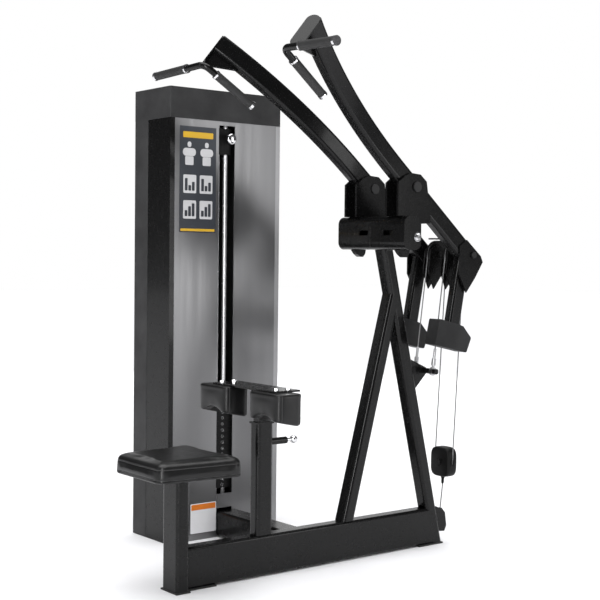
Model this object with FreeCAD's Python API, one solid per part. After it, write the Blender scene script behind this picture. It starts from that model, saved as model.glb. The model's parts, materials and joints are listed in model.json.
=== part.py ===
import FreeCAD, Part
import math
import os

# Lat pulldown machine, millimetres.
# Design frame: +X is the way the seated user faces, +Y is towards the weight tower, +Z is up,
# and Y = 0 is the middle plane of the seat, the base rail and the two arms.
# place() moves every node so that the origin is the middle of the footprint, on the floor.

V = FreeCAD.Vector

# ---- driving dimensions ----
FLOOR_GAP = 6.0            # height of the steel above the floor, filled by the rubber feet
RAIL_W, RAIL_TOP = 60.0, 152.0
RAIL_X0 = -1177.2
POST_X, POST_Y = 50.8, 101.6
WALL = 4.0
CORNER = 14.0
THIGH_X, THIGH_Y, THIGH_TOP = 72.0, 50.8, 565.0
THIGH_MID = -836.0
LEG_D, LEG_W = 54.0, 60.0
REAR_SLOPE, REAR_X0 = -0.2427, 42.3      # X of the rear leg's axis = REAR_X0 + REAR_SLOPE * Z
FRONT_SLOPE, FRONT_X0 = 0.264, -475.8
HEAD_X0, HEAD_X1 = -320.0, -232.0
HEAD_Z0, HEAD_Z1, HEAD_Y = 1196.0, 1325.0, 187.0
TOWER_X0, TOWER_X1 = -860.0, -311.0
TOWER_Y0, TOWER_Y1 = 596.0, 866.0
TOWER_H, CAP_H = 1840.0, 124.0
CROSS_X0, CROSS_X1, CROSS_TOP = -621.6, -520.0, 108.0
SHEET = 3.0                # sheet metal of the tower
SLOT_HALF, SLOT_Z0, SLOT_Z1 = 40.0, 178.0, 1700.0
STACK_X = -585.5
PLATE_Z0, PLATE_PITCH, PLATE_T, PLATES = 200.0, 25.4, 24.6, 15
ROD_Y, STEM_Y, ROD_GAP = 636.0, 676.0, 20.0
ARM_Y = 120.0              # middle plane of each arm's straight part
ARM_D, ARM_T = 76.2, 50.8
ARM_ANGLE = math.radians(40.0)
ARM_BEND_R, ARM_BEND = 1700.0, 25.0
PIVOT = V(-225.0, 0.0, 1438.0)
PIN_R = 12.0
PULLEY = V(95.0, 0.0, 1180.0)            # axle of the arm pulleys
CABLE_Y, PITCH_R, CABLE_R = 50.0, 53.0, 2.5
BLOCK = V(100.0, 0.0, 330.0)             # axle of the floating pulley
BLOCK_PITCH_R = 50.0
ANCHOR = V(-20.0, 0.0, 711.0)
FOOT_PULLEY = V(35.0, 0.0, 104.0)
FOOT_PITCH_R = 44.0
RUN_X, RUN_R = -585.5, 25.0              # cross tube's cable line and its corner pulley
BASE_PULLEY_Y, BASE_PULLEY_R = 800.0, 45.0
TOP_PULLEY_Z, TOP_PULLEY_R = 1770.0, 36.0
GRIP_R, BAR_R = 16.0, 12.7
NODES = {}
BODY = {}


def add(body, name, shape):
    """Keep a node; a shape added again under the same name joins it as one more solid."""
    if name in NODES:
        shape = Part.makeCompound(NODES[name].Solids + shape.Solids)
    else:
        BODY.setdefault(body, []).append(name)
    NODES[name] = shape


def box(x0, x1, y0, y1, z0, z1):
    return Part.makeBox(x1 - x0, y1 - y0, z1 - z0, V(x0, y0, z0))


def rod(a, b, r):
    return Part.makeCylinder(r, (b - a).Length, a, b - a)


def mirror(shape):
    return shape.mirror(V(0, 0, 0), V(0, 1, 0))


def rounded(centre, u, v, wide, tall, r):
    """Closed wire of a rounded rectangle, wide along u and tall along v."""
    def at(a, b):
        return centre + u * a + v * b
    w, h, k = wide / 2, tall / 2, r * (1 - math.sqrt(0.5))
    edges = []
    corners = [(w, h, 1, 1), (-w, h, -1, 1), (-w, -h, -1, -1), (w, -h, 1, -1)]
    arcs = []
    for x, y, sx, sy in corners:
        one, two = at(x, y - sy * r), at(x - sx * r, y)
        if sx * sy < 0:
            one, two = two, one
        arcs.append((one, at(x - sx * k, y - sy * k), two))
    for i, (one, mid, two) in enumerate(arcs):
        edges.append(Part.Arc(one, mid, two).toShape())
        nxt = arcs[(i + 1) % 4][0]
        if (nxt - two).Length > 0.01:
            edges.append(Part.makeLine(two, nxt))
    return Part.Wire(edges)


def beam(a, b, wide_y, deep, r=CORNER, wall=WALL):
    """Tube from a to b in a plane of constant Y; deep is its size across, in that plane."""
    d = (b - a).normalize()
    n = d.cross(V(0, 1, 0))
    length = (Part.Vertex(b).distToShape(Part.Vertex(a))[0])
    outer = Part.Face(rounded(a, V(0, 1, 0), n, wide_y, deep, r)).extrude(d * length)
    if not wall:
        return outer
    inner = Part.Face(rounded(a, V(0, 1, 0), n, wide_y - 2 * wall, deep - 2 * wall, max(r - wall, 1.0)))
    return outer.cut(inner.extrude(d * length))


def prism_y(points, y0, y1):
    """Plate with an XZ outline, from y0 to y1."""
    pts = [V(x, y0, z) for x, z in points]
    return Part.Face(Part.makePolygon(pts + [pts[0]])).extrude(V(0, y1 - y0, 0))


def tangent(point, centre, r, side):
    """Point where the line from point touches the XZ circle, on side +1 (+X) or -1 (-X)."""
    dx, dz = point.x - centre.x, point.z - centre.z
    dist, base = math.hypot(dx, dz), math.atan2(dz, dx)
    turn = math.acos(r / dist)
    angle = max((base + turn, base - turn), key=lambda a: side * math.cos(a))
    return V(centre.x + r * math.cos(angle), point.y, centre.z + r * math.sin(angle))


def grooved(centre, axis, r, wide, bore, groove=CABLE_R + 1.2):
    """Pulley whose cable runs at the pitch radius r."""
    axis = axis.normalize()
    wheel = Part.makeCylinder(r + 5.0, wide, centre - axis * (wide / 2), axis)
    wheel = wheel.cut(Part.makeTorus(r, groove, centre, axis))
    ring = Part.makeCylinder(r + 6.0, 2 * groove * 0.98, centre - axis * (groove * 0.98), axis)
    wheel = wheel.cut(ring.cut(Part.makeCylinder(r, 3 * groove, centre - axis * (1.5 * groove), axis)))
    return wheel.cut(Part.makeCylinder(bore, 3 * wide, centre - axis * (1.5 * wide), axis))


def pipe(edges, r):
    path = Part.Wire(edges)
    first = path.Edges[0]
    start = first.valueAt(first.FirstParameter)
    ring = Part.Wire(Part.makeCircle(r, start, first.tangentAt(first.FirstParameter)))
    return path.makePipeShell([ring], True, True)


def bent(points, radius, r):
    """Round bar through points, with one bend radius."""
    edges, last = [], points[0]
    for before, at, after in zip(points, points[1:], points[2:]):
        u, w = (before - at).normalize(), (after - at).normalize()
        half = u.getAngle(w) / 2
        cut = radius / math.tan(half)
        a, b = at + u * cut, at + w * cut
        mid_dir = (u + w).normalize()
        mid = at + mid_dir * (radius / math.sin(half) - radius)
        edges += [Part.makeLine(last, a), Part.Arc(a, mid, b).toShape()]
        last = b
    edges.append(Part.makeLine(last, points[-1]))
    return pipe(edges, r)


def rear_axis(z):
    return V(REAR_X0 + REAR_SLOPE * z, 0, z)


def front_axis(z):
    return V(FRONT_X0 + FRONT_SLOPE * z, 0, z)


# ---- frame ----

def leg_blank(axis, z0, z1, wall=WALL):
    low, high = axis(z0 - 60), axis(z1 + 60)
    cut = box(-2000, 2000, -500, 500, z0, z1)
    return beam(low, high, LEG_W, LEG_D, CORNER, wall).common(cut)


def build_frame():
    rear_solid = leg_blank(rear_axis, FLOOR_GAP, HEAD_Z0, 0)
    rear = leg_blank(rear_axis, FLOOR_GAP, HEAD_Z0)
    window = box(-60, 140, -15, 15, 40, 160)
    rear = rear.cut(window).cut(rod(FOOT_PULLEY - V(0, 30, 0), FOOT_PULLEY + V(0, 30, 0), 8.0))
    add("frame", "rear_leg", rear)

    front_top = 1013.0
    front_solid = leg_blank(front_axis, RAIL_TOP, front_top + 40, 0).cut(rear_solid)
    front = leg_blank(front_axis, RAIL_TOP, front_top + 40).cut(rear_solid)
    add("frame", "front_leg", front.common(max(front_solid.Solids, key=lambda s: s.Volume)))

    mid_z = (FLOOR_GAP + RAIL_TOP) / 2
    rail = beam(V(RAIL_X0, 0, mid_z), V(120, 0, mid_z), RAIL_W, RAIL_TOP - FLOOR_GAP, 12.0)
    behind = prism_y([(REAR_X0, -50), (400, -50), (400, 300), (REAR_X0 + 300 * REAR_SLOPE, 300)], -100, 100)
    rail = rail.cut(behind).cut(rear_solid)
    rail = max(rail.Solids, key=lambda s: s.Volume)
    rail = rail.cut(box(CROSS_X0 + 6, CROSS_X1 - 6, 10, 60, 25, CROSS_TOP - 6))
    corner = V(RUN_X + RUN_R, RUN_R, FLOOR_GAP + WALL)
    rail = rail.cut(rod(corner, corner + V(0, 0, RAIL_TOP - FLOOR_GAP - 2 * WALL), 6.0))
    add("frame", "base_rail", rail)

    post = beam(V(RAIL_X0 - POST_X / 2, 0, FLOOR_GAP), V(RAIL_X0 - POST_X / 2, 0, 404), POST_Y, POST_X)
    add("frame", "seat_post", post.fuse(box(-1300, -1080, -90, 90, 404, 410)))
    post = beam(V(THIGH_MID, 0, RAIL_TOP), V(THIGH_MID, 0, THIGH_TOP - 6), THIGH_Y, THIGH_X)
    post = post.cut(rod(V(THIGH_MID, 0, 488), V(THIGH_MID + 80, 0, 488), 6.1))
    collar = box(THIGH_MID - 37, THIGH_MID + 37, -26.4, 26.4, THIGH_TOP - 6, THIGH_TOP)
    collar = collar.cut(box(THIGH_MID - 30, THIGH_MID + 30, -19.5, 19.5, 500, 600))
    sleeve = rod(V(THIGH_MID + 34, 0, 488), V(THIGH_MID + 112, 0, 488), 13.0)
    sleeve = sleeve.cut(rod(V(THIGH_MID, 0, 488), V(THIGH_MID + 130, 0, 488), 6.1))
    add("frame", "thigh_post", post.fuse(collar).fuse(sleeve))

    foot = beam(V(-1231, 0, 3), V(-1052, 0, 3), 66.0, 6.0, 2.9, 0)
    wide = beam(V(-1231, 0, 3), V(-1174, 0, 3), 106.0, 6.0, 2.9, 0)
    add("frame", "rubber_feet", foot.fuse(wide))
    add("frame", "rubber_feet", beam(V(-60, 0, 3), V(70, 0, 3), 66.0, 6.0, 2.9, 0))

    low = (FLOOR_GAP + CROSS_TOP) / 2
    mid = V((CROSS_X0 + CROSS_X1) / 2, RAIL_W / 2, low)
    wide, tall = CROSS_X1 - CROSS_X0, CROSS_TOP - FLOOR_GAP
    outer = Part.Face(rounded(mid, V(1, 0, 0), V(0, 0, 1), wide, tall, 12.0))
    inner = Part.Face(rounded(mid, V(1, 0, 0), V(0, 0, 1), wide - 2 * WALL, tall - 2 * WALL, 8.0))
    along = V(0, TOWER_Y0 - RAIL_W / 2, 0)
    cross = outer.extrude(along).cut(inner.extrude(along))
    add("frame", "cross_tube", cross.cut(rod(corner, corner + V(0, 0, CROSS_TOP), 6.0)))

    head = Part.Face(rounded(V((HEAD_X0 + HEAD_X1) / 2, -HEAD_Y, (HEAD_Z0 + HEAD_Z1) / 2),
                             V(1, 0, 0), V(0, 0, 1), HEAD_X1 - HEAD_X0, HEAD_Z1 - HEAD_Z0, 30.0))
    hollow = Part.Face(rounded(V((HEAD_X0 + HEAD_X1) / 2, -HEAD_Y, (HEAD_Z0 + HEAD_Z1) / 2),
                               V(1, 0, 0), V(0, 0, 1), HEAD_X1 - HEAD_X0 - 10,
                               HEAD_Z1 - HEAD_Z0 - 10, 25.0))
    along = V(0, 2 * HEAD_Y, 0)
    crosshead = head.extrude(along).cut(hollow.extrude(along))
    for y in (-100.0, 40.0):
        crosshead = crosshead.cut(box(HEAD_X0 - 10, HEAD_X1 + 10, y - 26, y + 26, 1252, 1271))
    caps = []
    for y in (-HEAD_Y - 5, HEAD_Y):
        plate = Part.Face(rounded(V((HEAD_X0 + HEAD_X1) / 2, y, (HEAD_Z0 + HEAD_Z1) / 2),
                                  V(1, 0, 0), V(0, 0, 1), HEAD_X1 - HEAD_X0, HEAD_Z1 - HEAD_Z0, 30.0))
        caps.append(plate.extrude(V(0, 5, 0)))
    for cap in caps + crosshead_lugs():
        crosshead = crosshead.fuse(cap)
    add("frame", "crosshead", crosshead.removeSplitter())
    build_pivot_brackets()
    build_anchor()


def crosshead_lugs():
    """Two rounded lugs below the crosshead and the block that the rubber stops sit on."""
    lugs = [box(HEAD_X1, -180, -74, 74, 1268, 1300)]
    for s in (-1, 1):
        y0, y1 = sorted((s * 115.0, s * 139.0))
        lugs.append(prism_y([(-300, HEAD_Z0), (-240, HEAD_Z0), (-244, 1180), (-254, 1168), (-268, 1168),
                             (-284, 1178)], y0, y1))
    return lugs


def build_pivot_brackets():
    """Two cheek plates a side stand on the crosshead and hold each arm's pivot pin."""
    outline = [(-320, HEAD_Z1), (-320, 1452), (-285, 1478), (-255, 1490), (-205, 1486),
               (-172, 1460), (-165, 1420), (-150, 1350), (-150, 1300), (-232, 1296), (-232, HEAD_Z1)]
    for s in (-1, 1):
        for inner in (ARM_Y - 37.0, ARM_Y + 27.0):
            y0, y1 = sorted((s * inner, s * (inner + 10.0)))
            plate = prism_y(outline, y0, y1)
            pin_hole = rod(V(PIVOT.x, y0 - 5, PIVOT.z), V(PIVOT.x, y1 + 5, PIVOT.z), PIN_R)
            add("frame", "pivot_brackets", plate.cut(pin_hole))
        pin = rod(V(PIVOT.x, s * (ARM_Y - 42), PIVOT.z), V(PIVOT.x, s * (ARM_Y + 44), PIVOT.z), PIN_R)
        for y, thick in ((ARM_Y + 37, 7), (ARM_Y - 42, 5)):
            pin = pin.fuse(rod(V(PIVOT.x, s * y, PIVOT.z), V(PIVOT.x, s * (y + thick), PIVOT.z), 20.0))
        add("frame", "pivot_pins", pin)
        bumper = Part.makeCylinder(14, 44, V(-180, s * 60, 1284), V(1, 0, 0.25))
        add("frame", "stop_bumpers", bumper.cut(box(-232, -180, -74, 74, 1268, 1300)))


def build_anchor():
    """Fin behind the rear leg, its cross bar and the two cable end fittings."""
    face = rear_axis
    fin = prism_y([(face(770).x, 770), (face(770).x + 20, 770), (ANCHOR.x + 6, ANCHOR.z + 12),
                   (ANCHOR.x + 6, ANCHOR.z - 12), (face(625).x + 20, 625), (face(625).x, 625)], -6, 6)
    fin = fin.cut(leg_blank(rear_axis, 500, 900, 0))
    bar = rod(V(ANCHOR.x, -72, ANCHOR.z), V(ANCHOR.x, 72, ANCHOR.z), 11.0)
    add("frame", "cable_anchor", max(fin.Solids, key=lambda s: s.Volume).fuse(bar))
    for s in (-1, 1):
        at = V(ANCHOR.x, s * CABLE_Y, ANCHOR.z)
        touch = tangent(at, PULLEY, PITCH_R, -1)
        up = (touch - at).normalize()
        eye = Part.makeCylinder(17, 12, at - V(0, 6, 0), V(0, 1, 0))
        eye = eye.cut(Part.makeCylinder(11, 14, at - V(0, 7, 0), V(0, 1, 0)))
        shank = rod(at + up * 14, at + up * 92, 5.5).fuse(rod(at + up * 24, at + up * 52, 9.0))
        fitting = eye.fuse(shank.cut(Part.makeCylinder(11.0, 14, at - V(0, 7, 0), V(0, 1, 0))))
        add("frame", "cable_fittings", fitting)


# ---- tower ----

def build_tower():
    x0, x1, y0, y1 = TOWER_X0, TOWER_X1, TOWER_Y0, TOWER_Y1
    top = TOWER_H - CAP_H
    front = box(x0 + 22, x1 - 22, y0, y0 + SHEET, 0, top)
    front = front.cut(box(STACK_X - SLOT_HALF, STACK_X + SLOT_HALF, y0 - 5, y0 + 10, SLOT_Z0, SLOT_Z1))
    front = front.cut(box(RUN_X - 40, RUN_X + 40, y0 - 5, y0 + 10, 25, 120))
    add("frame", "tower_front_panel", front)
    lips = []
    for a, b in ((x0 + SHEET, x0 + 22), (x1 - 22, x1 - SHEET)):
        lips.append(box(a, b, y0, y0 + SHEET, 0, top))
    side = box(x0, x0 + SHEET, y0, y1, 0, top)
    add("frame", "tower_left_shell", side.fuse(lips[0]))
    side = box(x1 - SHEET, x1, y0, y1, 0, top)
    add("frame", "tower_right_shell", side.fuse(lips[1]))
    add("frame", "tower_back_panel", box(x0 + SHEET, x1 - SHEET, y1 - SHEET, y1, 0, top))
    floor = box(x0 + SHEET, x1 - SHEET, y0 + SHEET, y1 - SHEET, 120, 140)
    floor = floor.cut(box(RUN_X - 70, RUN_X + 70, 720, 860, 100, 200))
    add("frame", "tower_plates", floor)
    roof = box(x0 + SHEET, x1 - SHEET, y0 + SHEET, y1 - SHEET, top - 12, top - 4)
    roof = roof.cut(box(STACK_X - 60, STACK_X + 30, 640, 720, 1600, 1800))
    roof = roof.cut(box(RUN_X - 40, RUN_X + 40, 800, 862, 1600, 1800))
    add("frame", "tower_plates", roof)
    outer = Part.Face(rounded(V((x0 + x1) / 2, (y0 + y1) / 2, top), V(1, 0, 0), V(0, 1, 0),
                              x1 - x0 + 4, y1 - y0 + 4, 6.0)).extrude(V(0, 0, CAP_H))
    cap = outer.cut(box(x0 + 4, x1 - 4, y0 + 4, y1 - 4, top - 1, TOWER_H - 4))
    add("frame", "tower_cap", cap)

    for s in (-1, 1):
        x = STACK_X + s * ROD_GAP
        add("frame", "guide_rods", rod(V(x, ROD_Y, 140), V(x, ROD_Y, top - 12), 9.5))
    cushions = []
    for s in (-1, 1):
        x = STACK_X + s * 110
        cushions.append(rod(V(x, STEM_Y, 140), V(x, STEM_Y, PLATE_Z0), 24))
    add("frame", "stack_cushions", Part.makeCompound(cushions))
    build_stack()
    add("frame", "placards", box(-815, -640, y0 - 1.5, y0, 1259, 1686))
    add("frame", "placards", box(-753, -623, y0 - 1.2, y0, 26, 153))


def plate_with_holes(z, thick, low_slot):
    plate = box(STACK_X - 150, STACK_X + 150, TOWER_Y0 + 16, TOWER_Y0 + 146, z, z + thick)
    plate = plate.makeFillet(5.0, [e for e in plate.Edges
                                   if abs(e.Vertexes[0].Z - e.Vertexes[-1].Z) > 1])
    for s in (-1, 1):
        x = STACK_X + s * ROD_GAP
        plate = plate.cut(rod(V(x, ROD_Y, z - 5), V(x, ROD_Y, z + 99), 10.2))
    plate = plate.cut(rod(V(STACK_X, STEM_Y, z - 5), V(STACK_X, STEM_Y, z + 99), 12.6))
    if low_slot:
        hole = rod(V(STACK_X, TOWER_Y0 + 10, z + thick / 2), V(STACK_X, STEM_Y, z + thick / 2), 5.4)
        plate = plate.cut(hole)
    return plate


def build_stack():
    plates = []
    for i in range(PLATES):
        plates.append(plate_with_holes(PLATE_Z0 + i * PLATE_PITCH, PLATE_T, True))
    add("frame", "weight_plates", Part.makeCompound(plates))
    z = PLATE_Z0 + PLATES * PLATE_PITCH
    head = plate_with_holes(z, 40.0, False)
    head = head.fuse(rod(V(STACK_X, STEM_Y, z - 345), V(STACK_X, STEM_Y, z + 58), 12.0))
    for i in range(PLATES - 2):
        y = PLATE_Z0 + (i + 2) * PLATE_PITCH + PLATE_T / 2
        head = head.cut(rod(V(STACK_X, STEM_Y - 20, y), V(STACK_X, STEM_Y + 20, y), 5.4))
    head = head.cut(rod(V(STACK_X, TOWER_Y0 + 10, z + 20), V(STACK_X, STEM_Y + 10.2, z + 20), 5.0))
    add("stack_head", "stack_head", head)
    pin_z = z + 20
    pin = rod(V(STACK_X, TOWER_Y0 - 6, pin_z), V(STACK_X, STEM_Y + 10, pin_z), 4.9)
    knob = rod(V(STACK_X, TOWER_Y0 - 34, pin_z), V(STACK_X, TOWER_Y0 - 6, pin_z), 14)
    add("selector_pin", "selector_pin", pin.fuse(knob))
    block = box(STACK_X - 34, STACK_X + 34, ROD_Y - 18, ROD_Y + 22, 1584, 1690)
    for s in (-1, 1):
        x = STACK_X + s * ROD_GAP
        block = block.cut(rod(V(x, ROD_Y, 1500), V(x, ROD_Y, 1800), 9.9))
    knob = rod(V(STACK_X + 14, TOWER_Y0 + 1, 1646), V(STACK_X + 14, ROD_Y - 18, 1646), 6)
    face = Part.makeCylinder(22, 14, V(STACK_X + 14, TOWER_Y0 - 13, 1646), V(0, 1, 0))
    add("increment_weight", "increment_weight", block.fuse(face).fuse(knob))


# ---- arms ----

def arm_points():
    along = V(-math.cos(ARM_ANGLE), 0, math.sin(ARM_ANGLE))
    down = V(-math.sin(ARM_ANGLE), 0, -math.cos(ARM_ANGLE))
    return along, down


def on_arm(x):
    """Point on the arm's straight axis, in the right arm's plane."""
    return V(x, -ARM_Y, PIVOT.z - (x - PIVOT.x) * math.tan(ARM_ANGLE))


def arm_tube(outer_d, outer_t, r):
    along, down = arm_points()
    rear, kink = on_arm(118.0), on_arm(-300.0)
    face = Part.Face(rounded(rear, V(0, 1, 0), down, outer_t, outer_d, r))
    straight = face.extrude(kink - rear)
    start = Part.Face(rounded(kink, V(0, 1, 0), down, outer_t, outer_d, r))
    centre = kink + V(0, -ARM_BEND_R, 0)
    sweep = start.revolve(centre, down * -1, ARM_BEND)
    return straight, sweep


def tip_frame():
    along, down = arm_points()
    a = math.radians(ARM_BEND)
    kink = on_arm(-300.0)
    centre = kink + V(0, -ARM_BEND_R, 0)
    tip = centre + V(0, 1, 0) * (ARM_BEND_R * math.cos(a)) + along * (ARM_BEND_R * math.sin(a))
    forward = along * math.cos(a) + V(0, -1, 0) * math.sin(a)
    return tip, forward, down, forward.cross(down).normalize()


def build_arm(side):
    flip = mirror if side == "left" else (lambda s: s)
    body = side + "_arm"

    def put(name, shape):
        add(body, side + "_" + name, flip(shape))

    straight, sweep = arm_tube(ARM_D, ARM_T, CORNER)
    in_straight, in_sweep = arm_tube(ARM_D - 8, ARM_T - 8, CORNER - 4)
    tube = straight.fuse(sweep).cut(in_straight.fuse(in_sweep)).removeSplitter()
    bore = rod(V(PIVOT.x, -300, PIVOT.z), V(PIVOT.x, 0, PIVOT.z), 20.0)
    bolt = rod(V(PULLEY.x, -300, PULLEY.z), V(PULLEY.x, 0, PULLEY.z), 8.0)
    tube = tube.cut(bore).cut(bolt)
    bush = rod(V(PIVOT.x, -ARM_Y - 26.7, PIVOT.z), V(PIVOT.x, -ARM_Y + 26.7, PIVOT.z), 20.0)
    bush = bush.cut(rod(V(PIVOT.x, -300, PIVOT.z), V(PIVOT.x, 0, PIVOT.z), PIN_R + 0.05))
    put("arm_tube", tube.fuse(bush).fuse(arm_end_cap()).removeSplitter())

    tip, forward, down, across = tip_frame()
    centre = tip + down * 38.0
    cap = Part.Face(rounded(centre, across, down, 54.0, 152.0, 26.0)).extrude(forward * 6.0)
    web = Part.Face(Part.makePolygon([tip + down * 38.2, tip + down * 110, tip + down * 38.2 - forward * 120,
                                      tip + down * 38.2])).extrude(across * 12)
    web.translate(across * -6)
    plate = cap.fuse(web.cut(straight.fuse(sweep)))

    low = V(4.0, -ARM_Y, 860.0)
    high = V(62.0, -ARM_Y, 1160.0)
    down_tube = beam(low, high, 38.1, 63.5, 12.0, 3.0)
    reach = beam(high, high + (high - low).normalize() * 120, 38.1, 63.5, 12.0, 3.0)
    down_tube = down_tube.fuse(reach).cut(straight).removeSplitter()
    down_tube = max(down_tube.Solids, key=lambda s: s.Volume)
    weight = counterweight()
    put("down_tube", down_tube.cut(weight).fuse(rear_bracket(straight, down_tube)))
    put("counterweight", weight)
    build_handle(put, plate)

    pulley_at = V(PULLEY.x, -CABLE_Y, PULLEY.z)
    wheel = grooved(pulley_at, V(0, 1, 0), PITCH_R, 20.0, 8.1)
    add(side + "_arm_pulley", side + "_arm_pulley", flip(wheel))
    axle = rod(V(PULLEY.x, -ARM_Y - 32, PULLEY.z), V(PULLEY.x, -CABLE_Y + 26, PULLEY.z), 8.0)
    head = rod(V(PULLEY.x, -ARM_Y - 40, PULLEY.z), V(PULLEY.x, -ARM_Y - 32, PULLEY.z), 13.0)
    nut = rod(V(PULLEY.x, -CABLE_Y + 18.2, PULLEY.z), V(PULLEY.x, -CABLE_Y + 28, PULLEY.z), 13.0)
    put("arm_pulley_axle", axle.fuse(head).fuse(nut))


def arm_end_cap():
    along, down = arm_points()
    rear = on_arm(118.0)
    return Part.Face(rounded(rear, V(0, 1, 0), down, ARM_T, ARM_D, CORNER)).extrude(along * -4.0)


def counterweight():
    """Block on the lower end of the down tube, with one chamfered rear corner."""
    block = prism_y([(-84, 929), (-108, 828), (68, 790), (94, 848), (49, 896), (10, 908)], -150, -92)
    edges = [e for e in block.Edges if abs(e.Vertexes[0].Y - e.Vertexes[-1].Y) > 1]
    return block.makeFillet(8.0, edges)


def rear_bracket(straight, down_tube):
    """Cheeks that carry the arm pulley, one on each side of it, tied to the arm's rear end."""
    outline = [(30, 1110), (60, 1040), (100, 1090), (150, 1150), (140, 1190), (80, 1225), (40, 1200)]
    bodies = []
    for y0 in (-CABLE_Y - 18.0, -CABLE_Y + 12.0):
        bodies.append(prism_y(outline, y0, y0 + 6.0))
    web = prism_y([(30, 1110), (60, 1040), (84, 1072), (40, 1105)], -CABLE_Y - 18.0, -CABLE_Y + 18.0)
    boss = rod(V(PULLEY.x, -ARM_Y - 32, PULLEY.z), V(PULLEY.x, -CABLE_Y - 12, PULLEY.z), 18.0)
    side = prism_y([(20, 1100), (60, 1030), (110, 1090), (152, 1152), (140, 1176), (60, 1240), (20, 1215)],
                   -ARM_Y - 32.0, -ARM_Y - 25.6)
    shape = bodies[0].fuse(bodies[1]).fuse(boss).fuse(side)
    shape = shape.cut(rod(V(PULLEY.x, -300, PULLEY.z), V(PULLEY.x, 0, PULLEY.z), 8.0))
    strap = box(PULLEY.x - 34, PULLEY.x + 34, -CABLE_Y - 18, -CABLE_Y + 18, PULLEY.z + 62, PULLEY.z + 68)
    return shape.fuse(strap).cut(straight).cut(down_tube)


def build_handle(put, plate):
    bend = V(-940.0, -241.0, 1875.0)
    outer_start, outer_end = V(-944.0, -351.0, 1877.0), V(-959.0, -540.0, 1860.0)
    inner_start, inner_end = V(-889.0, -221.0, 1840.0), V(-743.0, -212.0, 1738.0)
    bar = bent([outer_end, bend, inner_end], 34.0, BAR_R)
    put("handle_bar", bar.fuse(plate))
    grips = []
    rings = []
    for start, end in ((outer_start, outer_end), (inner_start, inner_end)):
        line = (end - bend).normalize()
        a = bend + line * (start - bend).Length
        sleeve = rod(a, end - line * 4, GRIP_R)
        grips.append(sleeve.cut(rod(a - line * 5, end + line * 5, BAR_R)))
        ring = rod(a - line * 7, a, GRIP_R + 1.5)
        rings.append(ring.cut(rod(a - line * 9, a + line * 2, BAR_R)))
        rings.append(rod(end, end + line * 7, GRIP_R + 1.0))
        tail = rod(end - line * 4, end, GRIP_R + 1.0)
        rings.append(tail.cut(rod(end - line * 9, end + line, BAR_R)))
    put("handle_grips", Part.makeCompound(grips))
    put("grip_collars", Part.makeCompound(rings))


# ---- pads ----

def build_pads():
    def level(x0, x1, y0, y1, z):
        pts = [V(x0, -y0, z), V(x1, -y1, z), V(x1, y1, z), V(x0, y0, z)]
        return Part.makePolygon(pts + [pts[0]])
    pad = Part.Face(level(-1366, -1036, 152, 182, 410)).extrude(V(0, 0, 68))
    upright = [e for e in pad.Edges if abs(e.Vertexes[0].Z - e.Vertexes[-1].Z) > 1]
    pad = pad.makeFillet(34.0, upright)
    rim = [e for e in pad.Edges if all(v.Z > 477 for v in e.Vertexes) and e.Vertexes[0].Z > 477]
    add("frame", "seat_pad", pad.makeFillet(22.0, rim))

    slide_x, slide_y = 58.0, 36.0
    inner = beam(V(THIGH_MID, 0, 330), V(THIGH_MID, 0, 640), slide_y, slide_x, 8.0, 3.0)
    for i in range(-2, 6):
        z = 488 - i * 25
        inner = inner.cut(rod(V(THIGH_MID, 0, z), V(THIGH_MID + 80, 0, z), 5.6))
    bridge = box(-922, -810, -190, 190, 690, 697).fuse(box(-866, -806, -26, 26, 640, 690))
    add("thigh_carriage", "thigh_carriage", bridge.fuse(inner))
    for s, side in ((-1, "right"), (1, "left")):
        add("thigh_carriage", side + "_thigh_pad", thigh_pad(s))
    pin = rod(V(THIGH_MID + 30.5, 0, 488), V(THIGH_MID + 52, 0, 488), 5.2)
    pin = pin.fuse(rod(V(THIGH_MID + 52, 0, 488), V(THIGH_MID + 140, 0, 488), 6.0))
    knob = Part.makeSphere(15.0, V(THIGH_MID + 148, 0, 488))
    add("pull_pin", "pull_pin", pin.fuse(knob))


def thigh_pad(s):
    """Pad with an arched underside over one thigh, lower at the knee end."""
    y0, y1 = 66.0, 250.0
    x0, x1 = -952.0, -838.0
    block = prism_y([(x0, 594), (x1 - 20, 574), (x1, 582), (x1, 690), (x0, 690)], y0, y1)
    arch = Part.makeCylinder(98.0, 400, V(x0 - 100, (y0 + y1) / 2, 526), V(1, 0, -0.12))
    block = block.cut(arch)
    upright = [e for e in block.Edges if e.Length > 60 and abs(e.Vertexes[0].X - e.Vertexes[-1].X) < 1
               and abs(e.Vertexes[0].Y - e.Vertexes[-1].Y) < 1]
    block = block.makeFillet(24.0, upright)
    return mirror(block) if s < 0 else block


# ---- pulleys and cables ----

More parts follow.
